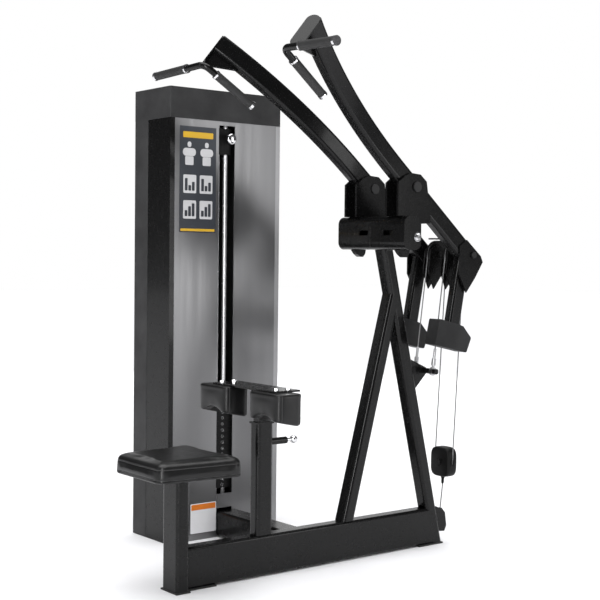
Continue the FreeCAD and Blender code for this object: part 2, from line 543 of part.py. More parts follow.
def build_pulleys():
    barrel = Part.makeCylinder(66.0, 52, V(BLOCK.x - 26, 0, BLOCK.z), V(1, 0, 0))
    housing = barrel.common(box(0, 300, -66, 66, BLOCK.z - 62, BLOCK.z + 60))
    hollow = Part.makeCylinder(60.0, 40, V(BLOCK.x - 20, 0, BLOCK.z), V(1, 0, 0))
    housing = housing.cut(hollow.common(box(0, 300, -60, 60, BLOCK.z - 57, BLOCK.z + 90)))
    for s in (-1, 1):
        housing = housing.cut(rod(V(BLOCK.x, s * CABLE_Y, BLOCK.z), V(BLOCK.x, s * CABLE_Y, 500), 6.0))
    housing = housing.cut(rod(V(BLOCK.x - 60, 0, BLOCK.z), V(BLOCK.x + 60, 0, BLOCK.z), 8.0))
    add("floating_block", "floating_block_housing", housing)
    wheel = grooved(BLOCK, V(1, 0, 0), BLOCK_PITCH_R, 20.0, 8.1, CABLE_R + 2.0)
    add("floating_pulley", "floating_pulley", wheel)
    axle = rod(BLOCK - V(30, 0, 0), BLOCK + V(30, 0, 0), 8.0)
    for x in (-34, 26.05):
        axle = axle.fuse(rod(BLOCK + V(x, 0, 0), BLOCK + V(x + 7.95, 0, 0), 12.0))
    add("floating_block", "floating_block_axle", axle)
    low = BLOCK.z - 62
    neck = rod(V(BLOCK.x - 3.5, 0, low - 28), V(BLOCK.x, 0, low), 9.0)
    NODES["floating_block_housing"] = housing.fuse(neck)

    add("foot_pulley", "foot_pulley", grooved(FOOT_PULLEY, V(0, 1, 0), FOOT_PITCH_R, 16.0, 8.1))
    axle = rod(FOOT_PULLEY - V(0, 30, 0), FOOT_PULLEY + V(0, 30, 0), 8.0)
    add("frame", "pulley_axles", axle)
    for y in (-15.0, 10.0):
        plate = prism_y([(40, 50), (95, 44), (106, 66), (98, 120), (78, 142), (40, 150)], y, y + 5.0)
        add("frame", "pulley_cheeks", plate.cut(axle))
    corner = V(RUN_X + RUN_R, RUN_R, FOOT_PULLEY.z - FOOT_PITCH_R)
    add("corner_pulley", "corner_pulley", grooved(corner, V(0, 0, 1), RUN_R, 14.0, 6.1))
    axle = rod(V(corner.x, corner.y, 10), V(corner.x, corner.y, 148), 6.0)
    add("frame", "pulley_axles", axle)
    base = V(RUN_X, BASE_PULLEY_Y, FOOT_PULLEY.z - FOOT_PITCH_R + BASE_PULLEY_R)
    add("base_pulley", "base_pulley", grooved(base, V(1, 0, 0), BASE_PULLEY_R, 16.0, 8.1))
    add("frame", "pulley_axles", rod(base - V(30, 0, 0), base + V(30, 0, 0), 8.0))
    for x in (-16.0, 12.0):
        plate = box(RUN_X + x, RUN_X + x + 4, 740, 862, 80, 120)
        add("frame", "pulley_cheeks", plate.cut(rod(base - V(30, 0, 0), base + V(30, 0, 0), 8.0)))
    build_top_pulleys()


def top_line():
    up = V(RUN_X, BASE_PULLEY_Y + BASE_PULLEY_R, 0)
    stem = V(STACK_X, STEM_Y, 0)
    over = stem - up
    reach = over.Length
    return up, over.normalize(), reach


def build_top_pulleys():
    up, over, reach = top_line()
    axis = over.cross(V(0, 0, 1)).normalize()
    for name, at in (("rear_top_pulley", TOP_PULLEY_R), ("front_top_pulley", reach - TOP_PULLEY_R)):
        centre = up + over * at + V(0, 0, TOP_PULLEY_Z)
        add(name, name, grooved(centre, axis, TOP_PULLEY_R, 16.0, 8.1))
        add("frame", "pulley_axles", rod(centre - axis * 18, centre + axis * 18, 8.0))
    low = TOWER_H - CAP_H - 4
    for off in (-14.0, 10.0):
        a = up + over * 10 + axis * off + V(0, 0, low)
        b = up + over * (reach - 10) + axis * off + V(0, 0, low)
        pts = [a, b, b + V(0, 0, 72), a + V(0, 0, 72), a]
        plate = Part.Face(Part.makePolygon(pts)).extrude(axis * 4)
        for at in (TOP_PULLEY_R, reach - TOP_PULLEY_R):
            centre = up + over * at + V(0, 0, TOP_PULLEY_Z)
            plate = plate.cut(rod(centre - axis * 40, centre + axis * 40, 8.0))
        add("frame", "pulley_cheeks", plate)


def arc_over(centre, a, b, through):
    mid = centre + through * (a - centre).Length
    return Part.Arc(a, mid, b).toShape()


def build_cables():
    run = {}
    for s in (-1, 1):
        anchor = V(ANCHOR.x, s * CABLE_Y, ANCHOR.z)
        hub = V(PULLEY.x, s * CABLE_Y, PULLEY.z)
        low = V(BLOCK.x, s * CABLE_Y, BLOCK.z)
        touch, back = tangent(anchor, PULLEY, PITCH_R, -1), tangent(low, PULLEY, PITCH_R, 1)
        start = anchor + (touch - anchor).normalize() * 92
        run[s] = [Part.makeLine(start, touch), arc_over(hub, touch, back, V(0, 0, 1)),
                  Part.makeLine(back, low)]
    turn = Part.Arc(V(BLOCK.x, -CABLE_Y, BLOCK.z), V(BLOCK.x, 0, BLOCK.z - BLOCK_PITCH_R),
                    V(BLOCK.x, CABLE_Y, BLOCK.z)).toShape()
    for edges in (run[-1], [turn], run[1]):
        add("frame", "arm_cable", pipe(edges, CABLE_R))

    z = FOOT_PULLEY.z - FOOT_PITCH_R
    top = V(BLOCK.x - 3.5, 0, BLOCK.z - 90.5)
    touch = tangent(top, FOOT_PULLEY, FOOT_PITCH_R, 1)
    under = V(FOOT_PULLEY.x, 0, z)
    steep = math.radians(-45)
    run = [Part.makeLine(top, touch)]
    run.append(arc_over(FOOT_PULLEY, touch, under, V(math.cos(steep), 0, math.sin(steep))))
    add("frame", "rear_cable", pipe(run, CABLE_R))
    corner = V(RUN_X + RUN_R, RUN_R, z)
    a, b = V(corner.x, 0, z), V(RUN_X, corner.y, z)
    base = V(RUN_X, BASE_PULLEY_Y, z + BASE_PULLEY_R)
    c, d = V(RUN_X, base.y, z), V(RUN_X, base.y + BASE_PULLEY_R, base.z)
    q = math.sqrt(0.5)
    up, over, reach = top_line()
    first, last = up + over * TOP_PULLEY_R, up + over * (reach - TOP_PULLEY_R)
    e, f = up + V(0, 0, TOP_PULLEY_Z), first + V(0, 0, TOP_PULLEY_Z + TOP_PULLEY_R)
    g, h = last + V(0, 0, TOP_PULLEY_Z + TOP_PULLEY_R), V(STACK_X, STEM_Y, TOP_PULLEY_Z)
    hub1, hub2 = first + V(0, 0, TOP_PULLEY_Z), last + V(0, 0, TOP_PULLEY_Z)
    lift = V(0, 0, q)
    bottom = V(STACK_X, STEM_Y, PLATE_Z0 + PLATES * PLATE_PITCH + 58)
    run = [Part.makeLine(under, a), arc_over(corner, a, b, V(-q, -q, 0)), Part.makeLine(b, c),
           arc_over(base, c, d, V(0, q, -q)), Part.makeLine(d, e),
           arc_over(hub1, e, f, lift - over * q), Part.makeLine(f, g),
           arc_over(hub2, g, h, lift + over * q)]
    add("frame", "stack_cable", pipe(run, CABLE_R))
    add("frame", "stack_cable", rod(bottom, h, CABLE_R))


def place():
    everything = Part.makeCompound(list(NODES.values())).BoundBox
    return V(-(everything.XMin + everything.XMax) / 2, -(everything.YMin + everything.YMax) / 2,
             -everything.ZMin)


def build():
    build_frame()
    build_tower()
    for side in ("right", "left"):
        build_arm(side)
    build_pads()
    build_pulleys()
    build_cables()
    return place()


def write(shift):
    os.makedirs("parts", exist_ok=True)
    for name, shape in NODES.items():
        moved = shape.copy()
        moved.translate(shift)
        moved.exportStep("parts/" + name + ".step")
        if not moved.isValid() or any(not s.isClosed() for s in moved.Shells):
            print("faulty", name)
    print(len(NODES), "nodes; origin shift", shift)


if __name__ == "__main__":
    write(build())
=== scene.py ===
"""Looks of a lat pulldown machine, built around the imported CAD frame. Lengths are in metres."""
import bpy
import bmesh
import json
import math
from mathutils import Matrix, Vector


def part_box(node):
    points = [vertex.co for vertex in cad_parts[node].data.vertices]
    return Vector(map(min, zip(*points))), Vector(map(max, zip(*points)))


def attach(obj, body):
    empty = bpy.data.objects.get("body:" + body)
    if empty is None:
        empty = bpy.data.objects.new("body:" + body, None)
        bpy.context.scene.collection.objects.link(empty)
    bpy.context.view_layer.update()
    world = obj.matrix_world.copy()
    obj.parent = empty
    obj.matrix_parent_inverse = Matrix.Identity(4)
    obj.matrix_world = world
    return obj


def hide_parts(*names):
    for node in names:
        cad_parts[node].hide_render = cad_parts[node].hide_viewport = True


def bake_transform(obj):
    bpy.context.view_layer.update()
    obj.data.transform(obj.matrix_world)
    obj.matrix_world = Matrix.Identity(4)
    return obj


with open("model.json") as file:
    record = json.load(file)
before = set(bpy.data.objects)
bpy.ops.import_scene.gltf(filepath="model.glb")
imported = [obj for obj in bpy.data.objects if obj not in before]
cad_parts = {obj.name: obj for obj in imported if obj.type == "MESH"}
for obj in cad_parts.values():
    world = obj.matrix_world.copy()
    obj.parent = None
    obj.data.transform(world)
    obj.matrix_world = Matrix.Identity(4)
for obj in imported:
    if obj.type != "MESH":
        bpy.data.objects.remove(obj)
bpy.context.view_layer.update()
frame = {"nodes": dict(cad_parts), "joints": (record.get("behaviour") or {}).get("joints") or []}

NODES = frame["nodes"]
JOINTS = {j["name"]: j for j in frame["joints"]}
X, Y, Z = Vector((1, 0, 0)), Vector((0, 1, 0)), Vector((0, 0, 1))

# The tower cap's low corner in the design frame, in millimetres, which ties that frame to the row frame
CAP_X, CAP_Y = -862, 594
CAP_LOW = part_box("tower_cap")[0]
ORIGIN = Vector((CAP_LOW[0] - CAP_X / 1000, CAP_LOW[1] - CAP_Y / 1000, 0.0))


def at(x, y, z):
    """A point of the design frame, given in millimetres."""
    return ORIGIN + Vector((x, y, z)) / 1000


def box_of(node):
    """The low and the high corner of a CAD node's box."""
    return [Vector(corner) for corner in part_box(node)]


def hub_of(joint):
    return Vector(JOINTS[joint]["pos_m"])


# ---- camera ----

YAW, PITCH, ROLL = (math.radians(a) for a in (51.612, 2.0968, 0.6401))
SENSOR_MM, LENS_MM = 36.0, 73.966
CAMERA_AT = at(-3508.6, -3589.7, 1173.1)
look = Vector((math.cos(YAW) * math.cos(PITCH), math.sin(YAW) * math.cos(PITCH), -math.sin(PITCH)))
right = Vector((math.sin(YAW), -math.cos(YAW), 0))
up = right.cross(look)
cam_x = right * math.cos(ROLL) + up * math.sin(ROLL)
cam_y = up * math.cos(ROLL) - right * math.sin(ROLL)
camera = bpy.data.objects.new("camera", bpy.data.cameras.new("camera"))
camera.data.lens, camera.data.sensor_width = LENS_MM, SENSOR_MM
camera.data.clip_end = 60
camera.matrix_world = Matrix.Translation(CAMERA_AT) @ Matrix((cam_x, cam_y, -look)).transposed().to_4x4()
bpy.context.collection.objects.link(camera)
bpy.context.scene.camera = camera


# ---- materials ----

CLOUD_SCALE, CLOUD_DETAIL = 9, 5    # the slow change of colour
WEAR_SCALE, WEAR_DETAIL = 45, 4     # the faster change of gloss
GRAIN_DETAIL = 3
RELIEF_DEPTH = 0.0004
COAT_ROUGH = 0.08


def material(name, base, rough, metal=0.0, coat=0.0, spread=0.25, grain=500.0, bump=0.1,
             stretch=(1, 1, 1), pattern="noise", gloss=0.5):
    """A shader with cloudy colour, uneven gloss and a fine relief, in the piece's own coordinates."""
    m = bpy.data.materials.new(name)
    m.use_nodes = True
    tree = m.node_tree
    shader = tree.nodes["Principled BSDF"]
    new, link = tree.nodes.new, tree.links.new
    coord = new("ShaderNodeTexCoord")
    mapping = new("ShaderNodeMapping")
    mapping.inputs["Scale"].default_value = stretch
    link(coord.outputs["Object"], mapping.inputs["Vector"])

    def texture(kind, output, **values):
        node = new(kind)
        for socket, value in values.items():
            node.inputs[socket].default_value = value
        link(mapping.outputs["Vector"], node.inputs["Vector"])
        return node.outputs[output]

    clouds = texture("ShaderNodeTexNoise", "Fac", Scale=CLOUD_SCALE, Detail=CLOUD_DETAIL)
    ramp = new("ShaderNodeValToRGB")
    ramp.color_ramp.elements[0].position, ramp.color_ramp.elements[1].position = 0.3, 0.7
    for e, k in zip(ramp.color_ramp.elements, (1 - spread, 1 + spread)):
        e.color = [min(c * k, 1) for c in base] + [1]
    link(clouds, ramp.inputs["Fac"])
    link(ramp.outputs["Color"], shader.inputs["Base Color"])

    wear = new("ShaderNodeMapRange")
    wear.inputs["To Min"].default_value = max(rough - 0.07, 0.03)
    wear.inputs["To Max"].default_value = rough + 0.09
    link(texture("ShaderNodeTexNoise", "Fac", Scale=WEAR_SCALE, Detail=WEAR_DETAIL), wear.inputs["Value"])
    link(wear.outputs["Result"], shader.inputs["Roughness"])

    if pattern == "hide":
        height = texture("ShaderNodeTexVoronoi", "Distance", Scale=grain)
    elif pattern == "rings":
        height = texture("ShaderNodeTexWave", "Fac", Scale=grain, Distortion=0.4)
    else:
        height = texture("ShaderNodeTexNoise", "Fac", Scale=grain, Detail=GRAIN_DETAIL)
    relief = new("ShaderNodeBump")
    relief.inputs["Strength"].default_value = bump
    relief.inputs["Distance"].default_value = RELIEF_DEPTH
    link(height, relief.inputs["Height"])
    link(relief.outputs["Normal"], shader.inputs["Normal"])

    shader.inputs["Metallic"].default_value = metal
    shader.inputs["Coat Weight"].default_value = coat
    shader.inputs["Coat Roughness"].default_value = COAT_ROUGH
    shader.inputs["Specular IOR Level"].default_value = gloss
    return m


def grey(v):
    """A grey that is very slightly blue."""
    return v, v, v * 1.02


BRUSHED_UP, EDGE_UP = (1, 1, 0.04), (1, 1, 0.05)    # texture scales that draw the grain out along Z
PAINT = material("black_powder_coat", grey(0.003), 0.25, coat=0.18, grain=700, bump=0.012, gloss=0.14)
PANEL = material("silver_panel", grey(0.21), 0.3, metal=0.85, spread=0.06, grain=260, bump=0.03,
                 stretch=BRUSHED_UP)
EDGE = material("aluminium_edge", grey(0.34), 0.35, metal=0.5, spread=0.06, grain=300, bump=0.03,
                stretch=EDGE_UP)
CAP = material("charcoal_moulding", grey(0.034), 0.48, gloss=0.15, grain=900, bump=0.18)
CHROME = material("chrome", grey(0.74), 0.09, metal=1.0, spread=0.04, grain=300, bump=0.01)
STEEL = material("zinc_steel", grey(0.42), 0.32, metal=1.0, spread=0.1, grain=500, bump=0.05)
ROD = material("guide_rod_chrome", grey(0.66), 0.24, metal=0.7, spread=0.04, grain=300, bump=0.01)
DARK_STEEL = material("black_oxide_steel", grey(0.02), 0.34, metal=0.6, spread=0.1, grain=500, bump=0.05)
IRON = material("painted_iron", grey(0.006), 0.5, gloss=0.2, grain=420, bump=0.3)
COUNTER = material("counterweight_paint", grey(0.022), 0.6, gloss=0.15, grain=500, bump=0.3)
RUBBER = material("rubber", grey(0.012), 0.75, grain=1100, bump=0.35)
GRIP = material("grip_rubber", grey(0.013), 0.68, grain=190, bump=0.35, pattern="rings")
VINYL = material("vinyl", grey(0.005), 0.34, coat=0.08, gloss=0.28, grain=620, bump=0.22, pattern="hide")
WELT = material("welt_vinyl", grey(0.02), 0.38, grain=900, bump=0.2, pattern="hide")
NYLON = material("nylon", grey(0.004), 0.45, gloss=0.15, grain=800, bump=0.14)
CABLE = material("coated_cable", grey(0.16), 0.4, spread=0.15, grain=500, bump=0.25, pattern="rings")
PLACARD = material("placard_print", (0.03, 0.034, 0.042), 0.4, spread=0.08, grain=700, bump=0.03)
YELLOW = material("print_yellow", (0.6, 0.36, 0.02), 0.42, spread=0.06)
ORANGE = material("print_orange", (0.75, 0.2, 0.02), 0.42, spread=0.06)
PALE = material("print_pale", grey(0.55), 0.45, spread=0.08)
WHITE = material("print_white", grey(0.78), 0.45, spread=0.04)

# Words in the names of CAD nodes, and the material of the nodes that hold one. The first row that fits wins.
FINISHES = (
    (("grips",), GRIP),
    (("feet", "cushion", "bumper"), RUBBER),
    (("guide_rods",), ROD),
    (("collars", "selector_pin", "pull_pin"), CHROME),
    (("fittings",), STEEL),
    (("axle", "pins"), DARK_STEEL),
    (("counterweight",), COUNTER),
    (("floating_block_housing",), NYLON),
    (("cheeks", "anchor"), PAINT),
    (("pulley",), NYLON),
    (("weight_plates", "stack_head", "increment"), IRON),
    (("front_panel",), PANEL),
    (("right_shell",), EDGE),
    (("tower_cap", "back_panel"), CAP),
    (("placards",), PLACARD),
)


def finish_of(name):
    """The material of a CAD node that stays."""
    for words, m in FINISHES:
        if any(w in name for w in words):
            return m
    return PAINT


for node, obj in NODES.items():
    finish = finish_of(node)
    if not obj.material_slots:
        obj.data.materials.append(finish)
    for s in obj.material_slots:
        s.material = finish


# ---- making pieces ----

def piece(name, mesh, mat, body, slot, smooth=True):
    """An object of one material. It rides on the body, where one is given."""
    obj = bpy.data.objects.new(name, mesh)
    bpy.context.collection.objects.link(obj)
    mesh.materials.clear()
    mesh.materials.append(mat)
    if smooth:
        mesh.shade_smooth()
    else:
        mesh.shade_flat()
    if body:
        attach(obj, body)
    return obj


def from_bmesh(bm, name, *rest, **more):
    bmesh.ops.recalc_face_normals(bm, faces=bm.faces)
    mesh = bpy.data.meshes.new(name)
    bm.to_mesh(mesh)
    bm.free()
    return piece(name, mesh, *rest, **more)


def skin(bm, rings, capped=True):
    """Joins rings of vertices, each to the next, and closes both ends where capped."""
    for a, b in zip(rings, rings[1:]):
        for k in range(len(a)):
            j = (k + 1) % len(a)
            bm.faces.new((a[k], a[j], b[j], b[k]))
    if capped:
        bm.faces.new(rings[0])
        bm.faces.new(rings[-1])


def tube(bm, path, radius, sides=12, closed=False):
    """Adds a round tube along the path's points, with capped ends."""
    n = len(path)
    rings, normal = [], None
    for i, p in enumerate(path):
        before = path[i - 1] if i or closed else p
        after = path[(i + 1) % n] if i < n - 1 or closed else p
        along = (after - before).normalized()
        if normal is None:
            normal = along.orthogonal()
        normal = (normal - along * normal.dot(along)).normalized()
        other = along.cross(normal)
        rings.append([bm.verts.new(p + (normal * math.cos(t) + other * math.sin(t)) * radius)
                      for t in (2 * math.pi * k / sides for k in range(sides))])
    if closed:
        rings.append(rings[0])
    skin(bm, rings, capped=not closed)


def lathe(bm, centre, axis, profile, sides=32):
    """Adds a turned solid: profile is (distance along the axis, radius) pairs."""
    axis = Vector(axis).normalized()
    u = axis.orthogonal().normalized()
    v = axis.cross(u)
    turns = [2 * math.pi * (k + 0.5) / sides for k in range(sides)]
    skin(bm, [[bm.verts.new(centre + axis * d + (u * math.cos(t) + v * math.sin(t)) * r) for t in turns]
              for d, r in profile])


def bolt(bm, centre, axis, size=0.009):
    """A washer with a chamfered hexagon head on it."""
    lathe(bm, centre, axis, [(0, size * 1.35), (0.0012, size * 1.4), (0.002, size * 1.3)])
    lathe(bm, centre, axis, [(0.002, size), (0.0065, size), (0.0078, size * 0.86), (0.0078, size * 0.5),
                             (0.0072, size * 0.45)], sides=6)


def line(a, b, n):
    return [a.lerp(b, i / n) for i in range(n + 1)]


def arc(hub, a, b, through, n=14):
    """Points from a to b round the hub, on the side of the direction through."""
    r = (a - hub).length
    start, mid, end = (a - hub).normalized(), Vector(through).normalized(), (b - hub).normalized()
    points = [hub + start.slerp(mid, i / n) * r for i in range(n + 1)]
    return points + [hub + mid.slerp(end, i / n) * r for i in range(1, n + 1)]


def tangent(p, hub, r, side):
    """Where a line from p touches a circle round the hub, in the plane of X and Z."""
    d = p - hub
    d.y = 0
    base, off = math.atan2(d.z, d.x), math.acos(r / d.length)
    a = max((base + off, base - off), key=lambda t: side * math.cos(t))
    return Vector((hub.x + r * math.cos(a), p.y, hub.z + r * math.sin(a)))


# ---- padded pieces ----

VOXEL, DRAWN_IN, FRAMES = 0.005, 0.002, 20
GROOVE_DEPTH, GROOVE_WIDTH, WELT_R = 0.0012, 0.0035, 0.0013
SHORTEST_SEAM = 20      # points
HELD = 0.008            # the depth of the band that is fixed to the pad's board


def settle(obj):
    """Makes the object's modifiers real."""
    graph = bpy.context.evaluated_depsgraph_get()
    made = bpy.data.meshes.new_from_object(obj.evaluated_get(graph))
    obj.modifiers.clear()
    obj.data = made


def even_out(obj, times):
    smooth = obj.modifiers.new("smooth", "SMOOTH")
    smooth.factor, smooth.iterations = 0.5, times


def blow_up(obj):
    """Runs the pad as cloth with air in it. The vertices of the group held stay where they are."""
    s = obj.modifiers.new("cloth", "CLOTH").settings
    s.quality, s.mass, s.vertex_group_mass = 5, 0.3, "held"
    s.tension_stiffness = s.compression_stiffness = 60
    s.bending_stiffness = 8
    s.use_pressure, s.uniform_pressure_force = True, 4
    s.effector_weights.gravity = 0
    for f in range(1, FRAMES + 1):
        bpy.context.scene.frame_set(f)
    settle(obj)
    bpy.context.scene.frame_set(1)


def seam_loops(mesh, point, direction):
    """The closed lines where a plane cuts the mesh, each as a list of points."""
    cut = bmesh.new()
    cut.from_mesh(mesh)
    bmesh.ops.bisect_plane(cut, geom=cut.verts[:] + cut.edges[:] + cut.faces[:], plane_co=point,
                           plane_no=direction, clear_inner=True, clear_outer=True)
    loops, left = [], dict.fromkeys(cut.verts)
    while left:
        v = next(iter(left))
        loop = []
        while v:
            del left[v]
            loop.append(v.co.copy())
            v = next((e.other_vert(v) for e in v.link_edges if e.other_vert(v) in left), None)
        if len(loop) > SHORTEST_SEAM:
            loops.append(loop)
    cut.free()
    return loops


def upholster(node, body, name, pinned, cap, seams):
    """The pad that a CAD node holds the place of: remeshed, drawn in, blown up by cloth, then sewn."""
    obj = piece(name, NODES[node].data.copy(), VINYL, None, "vinyl")
    remesh = obj.modifiers.new("remesh", "REMESH")
    remesh.mode, remesh.voxel_size = "VOXEL", VOXEL
    even_out(obj, 4)
    settle(obj)
    start = [v.co.copy() for v in obj.data.vertices]
    held = obj.vertex_groups.new(name="held")
    held.add([i for i, c in enumerate(start) if pinned(c)], 1.0, "REPLACE")
    normals = [v.normal.copy() for v in obj.data.vertices]
    for v, n in zip(obj.data.vertices, normals):
        if not pinned(v.co):
            v.co -= n * DRAWN_IN
    blow_up(obj)
    for v, c in zip(obj.data.vertices, start):
        move = v.co - c
        if move.length > cap:
            v.co = c + move * (cap / move.length)
    obj.vertex_groups.clear()
    even_out(obj, 10)
    sub = obj.modifiers.new("subdivide", "SUBSURF")
    sub.levels = sub.render_levels = 1
    settle(obj)

    obj.data.update()
    normals = [v.normal.copy() for v in obj.data.vertices]
    for v, n in zip(obj.data.vertices, normals):
        for point, direction in seams:
            off = (v.co - point).dot(direction)
            if not pinned(v.co):
                v.co -= n * GROOVE_DEPTH * math.exp(-(off / GROOVE_WIDTH) ** 2)
    obj.data.materials.clear()
    obj.data.materials.append(VINYL)
    obj.data.shade_smooth()
    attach(obj, body)
    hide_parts(node)

    bm = bmesh.new()
    for point, direction in seams:
        for loop in seam_loops(obj.data, point, direction):
            tube(bm, loop[::2], WELT_R, 8, closed=True)
    from_bmesh(bm, name + "_welt", WELT, body, "vinyl")


SEAT_CAP, THIGH_CAP = 0.004, 0.003      # how far the cloth may move from the CAD shape
TOP_SEAM, FOOT_SEAM, END_SEAM = 0.022, 0.012, 0.02
low, high = box_of("seat_pad")
upholster("seat_pad", "frame", "seat_cushion", lambda c, floor=low.z: c.z < floor + HELD, SEAT_CAP,
          [(Z * (high.z - TOP_SEAM), Z), (Z * (low.z + FOOT_SEAM), Z)])
for side in ("right", "left"):
    low, high = box_of(side + "_thigh_pad")
    upholster(side + "_thigh_pad", "thigh_carriage", side + "_thigh_cushion",
              lambda c, top=high.z: c.z > top - HELD, THIGH_CAP,
              [(X * (low.x + END_SEAM), X), (X * (high.x - END_SEAM), X)])


# ---- cables ----

CABLE_R = 0.0025
PULLEY_R, FOOT_R, CORNER_R, BASE_R, TOP_R = 0.053, 0.044, 0.025, 0.045, 0.036
CABLE_Y = 50                            # millimetres to each side of the middle
ANCHOR_X, ANCHOR_Z = -20, 711
BLOCK_X, BLOCK_Z = 100, 330
SOCKET = at(96.5, 0, 239.5)             # where the rear cable enters the floating block
FITTING = 0.092                         # from the anchor's point to where the bare cable starts
STRETCH = 0.034        # the cable's last part before the arm pulley, which reaches after it
STRETCH_BACK = 0.105   # longer behind the pulley, so that it clears the rim as the arm swings
block_hub, foot_hub = hub_of("floating_pulley_spin"), hub_of("foot_pulley_spin")


def cable(name, path, body=None, bend=None, stands_for="arm_cable"):
    """A length of cable that rides on one body; where a bend is given it rides on none, and its transform is
    baked into its mesh.
    """
    bm = bmesh.new()
    tube(bm, path, CABLE_R, 10)
    obj = from_bmesh(bm, name, CABLE, body, "steel")
    if bend:
        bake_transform(obj)
    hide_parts(stands_for)


for side, s in (("right", -1), ("left", 1)):
    hub, arm = hub_of(side + "_arm_pulley_spin"), side + "_arm"
    anchor = at(ANCHOR_X, s * CABLE_Y, ANCHOR_Z)
    low_end = Vector((block_hub.x, hub.y, block_hub.z))
    touch, leave = tangent(anchor, hub, PULLEY_R, -1), tangent(low_end, hub, PULLEY_R, 1)
    way = (touch - anchor).normalized()
    near = touch - way * STRETCH
    cable(side + "_cable_front", line(anchor + way * FITTING, near, 40) + line(near, touch, 60)[1:],
          bend=("frame", arm, near, touch))
    cable(side + "_cable_wrap", arc(hub, touch, leave, Z, 20), arm)
    down = (low_end - leave).normalized()
    near = leave + down * STRETCH_BACK
    cable(side + "_cable_back", line(near, leave, 60), bend=("frame", arm, near, leave))
    cable(side + "_cable_drop", line(near, low_end, 60), bend=("frame", "floating_block", near, low_end))
block_sides = at(BLOCK_X, -CABLE_Y, BLOCK_Z), at(BLOCK_X, CABLE_Y, BLOCK_Z)
cable("block_cable_turn", arc(block_hub, *block_sides, -Z, 24), "floating_block")

touch = tangent(SOCKET, foot_hub, FOOT_R, 1)
under = foot_hub - Z * FOOT_R
cable("rear_cable_rise", line(touch, SOCKET, 40), bend=("frame", "floating_block", touch, SOCKET),
      stands_for="rear_cable")
cable("rear_cable_wrap", arc(foot_hub, touch, under, (1, 0, -1)), "frame", stands_for="rear_cable")

corner, base = hub_of("corner_pulley_spin"), hub_of("base_pulley_spin")
rear_top, front_top = hub_of("rear_top_pulley_spin"), hub_of("front_top_pulley_spin")
stem = Vector((front_top.x, front_top.y - TOP_R, front_top.z))
stem_top = Vector((stem.x, stem.y, box_of("stack_head")[1].z))
route = [under] + arc(corner, corner - Y * CORNER_R, corner - X * CORNER_R, (-1, -1, 0))
route += arc(base, base - Z * BASE_R, base + Y * BASE_R, (0, 1, -1))
route += arc(rear_top, rear_top + Y * TOP_R, rear_top + Z * TOP_R, (0, 1, 1))
route += arc(front_top, front_top + Z * TOP_R, stem, (0, -1, 1))
apart = [route[0]]
for p in route[1:]:
    if (p - apart[-1]).length > 1e-4:
        apart.append(p)
cable("stack_cable_run", apart, "frame", stands_for="stack_cable")
cable("stack_cable_drop", line(stem, stem_top, 60), bend=("frame", "stack_head", stem, stem_top),
      stands_for="stack_cable")


# ---- bolts and bushes ----

PLATE_TOP = 697
bm = bmesh.new()
for y in (-165, 165):
    for x in (-898, -844):
        bolt(bm, at(x, y, PLATE_TOP), Z, 0.0085)
from_bmesh(bm, "thigh_plate_bolts", CHROME, "thigh_carriage", "chrome", smooth=False)

bm = bmesh.new()
head_low, head_high = box_of("crosshead")
middle = (head_low + head_high) / 2
for y, d in ((head_low.y, -1), (head_high.y, 1)):
    bolt(bm, Vector((middle.x, y, middle.z)), (0, d, 0), 0.013)
from_bmesh(bm, "crosshead_bolts", CHROME, "frame", "chrome", smooth=False)

# Bright bushes round the pin holes of the plates
PLATES = 15
BUSH = [(0, 0.0066), (0.001, 0.0066), (0.0013, 0.0061), (0.0011, 0.0056), (0, 0.0055)]
bm = bmesh.new()
stack_low, stack_high = box_of("weight_plates")
pitch = (stack_high.z - stack_low.z) / PLATES
for i in range(PLATES):
    lathe(bm, Vector((stem.x, stack_low.y, stack_low.z + pitch * (i + 0.5))), -Y, BUSH, 20)
from_bmesh(bm, "plate_bushes", STEEL, "frame", "chrome")


# ---- prints on the tower's front ----

def patch(bm, x0, x1, z0, z1, y, r):
    """A flat print with rounded corners, facing -Y, in millimetres of the design frame."""
    thickness = 0.0004
    corners = ((x1 - r, z1 - r, 0), (x0 + r, z1 - r, 90), (x0 + r, z0 + r, 180), (x1 - r, z0 + r, 270))
    ring = []
    for cx, cz, a in corners:
        for k in range(5):
            t = math.radians(a + 22.5 * k)
            ring.append(at(cx + r * math.cos(t), y, cz + r * math.sin(t)))
    face = [bm.verts.new(p) for p in ring]
    back = [bm.verts.new(p + Y * thickness) for p in ring]
    skin(bm, [face, back])


def prints(name, mat, patches, y):
    """One piece of flat prints, each given as x0, x1, z0, z1 and the radius of its corners."""
    bm = bmesh.new()
    for x0, x1, z0, z1, r in patches:
        patch(bm, x0, x1, z0, z1, y, r)
    from_bmesh(bm, name, mat, "frame", "placard", smooth=False)


PRINT_Y = 594.1
GLYPH_Y = PRINT_Y - 0.4
LABEL_Y, BAND_Y = 594.4, 594.0
TILE_WIDE, TILE_HIGH = 62, 74
TILES = [(x, z) for x in (-798, -719) for z in (1314, 1417)]
BAR_FROM, BAR_FOOT, BAR_STEP, BAR_WIDE = 7, 10, 17, 13
BAR_HEIGHTS = ((24, 40, 52), (50, 22, 36))

